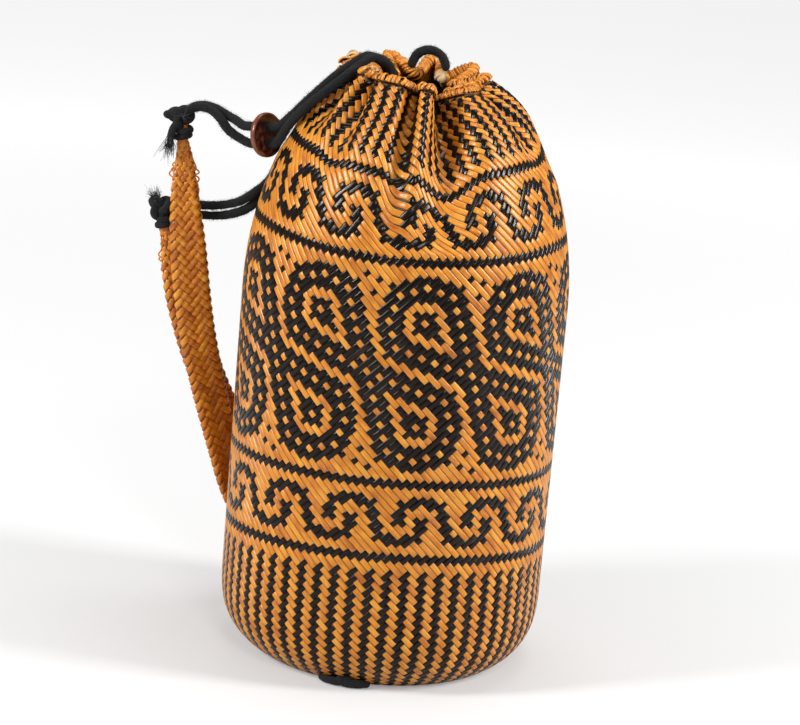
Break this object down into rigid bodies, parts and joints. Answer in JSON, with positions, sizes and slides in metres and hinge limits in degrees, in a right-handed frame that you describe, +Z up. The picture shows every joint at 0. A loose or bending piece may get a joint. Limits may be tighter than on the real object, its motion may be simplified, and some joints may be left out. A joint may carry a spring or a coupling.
{
  "type": "pack basket",
  "caption": "Tall plaited cane pack basket with a gathered drawstring mouth, a disc stopper on its cord and two plaited shoulder straps.",
  "frame": {"origin": "centre of the flat underside that the basket stands on", "axes": "+Z up along the basket's axis, -Y towards the viewer of the picture, +X to that viewer's right; the straps hang on the -X side"},
  "size_m": [0.2953, 0.224, 0.4212],
  "materials": {
    "plaited_cane": "split cane in warm orange and glossy black, plaited in a two-tone twill pattern",
    "binding_cane": "twisted split cane, satin",
    "strap_cane": "plaited amber cane, satin",
    "cord": "black cotton cord, matt",
    "shell": "dark mottled shell with a copper-red edge, polished"
  },
  "bodies": {
    "basket": {"basket_body": "plaited_cane", "rim_binding": "binding_cane", "drawcord_in_rim": "cord", "base_knot": "cord", "front_cord_upper": "cord", "front_cord_lower": "cord", "back_cord_upper": "cord", "back_cord_lower": "cord", "front_strap_lashing": "cord", "back_strap_lashing": "cord"},
    "stopper": {"stopper": "shell"},
    "pull_loop": {"pull_loop": "cord"},
    "front_strap": {"front_strap": "strap_cane", "front_strap_knot": "cord", "front_strap_cord_upper": "cord", "front_strap_cord_lower": "cord"},
    "back_strap": {"back_strap": "strap_cane", "back_strap_knot": "cord", "back_strap_cord_upper": "cord", "back_strap_cord_lower": "cord"}
  },
  "joints": [
    {"name": "front_strap_swing", "type": "hinge", "parent": "basket", "child": "front_strap", "pos_m": [-0.112, 0.0084, 0.3469], "axis": [-0.0897, -0.2089, 0.9738], "range_deg": [-4, 20]},
    {"name": "back_strap_swing", "type": "hinge", "parent": "basket", "child": "back_strap", "pos_m": [-0.107, 0.036, 0.301], "axis": [-0.2089, -0.2282, 0.9509], "range_deg": [-45, 3]},
    {"name": "stopper_slide", "type": "slide", "parent": "basket", "child": "stopper", "axis": [-0.7836, 0.6022, -0.1524], "range_m": [0, 0.008]},
    {"name": "pull_loop_flop", "type": "hinge", "parent": "basket", "child": "pull_loop", "pos_m": [-0.0086, 0.0248, 0.399], "axis": [0.9974, -0.0725, 0], "range_deg": [0, 80]}
  ]
}
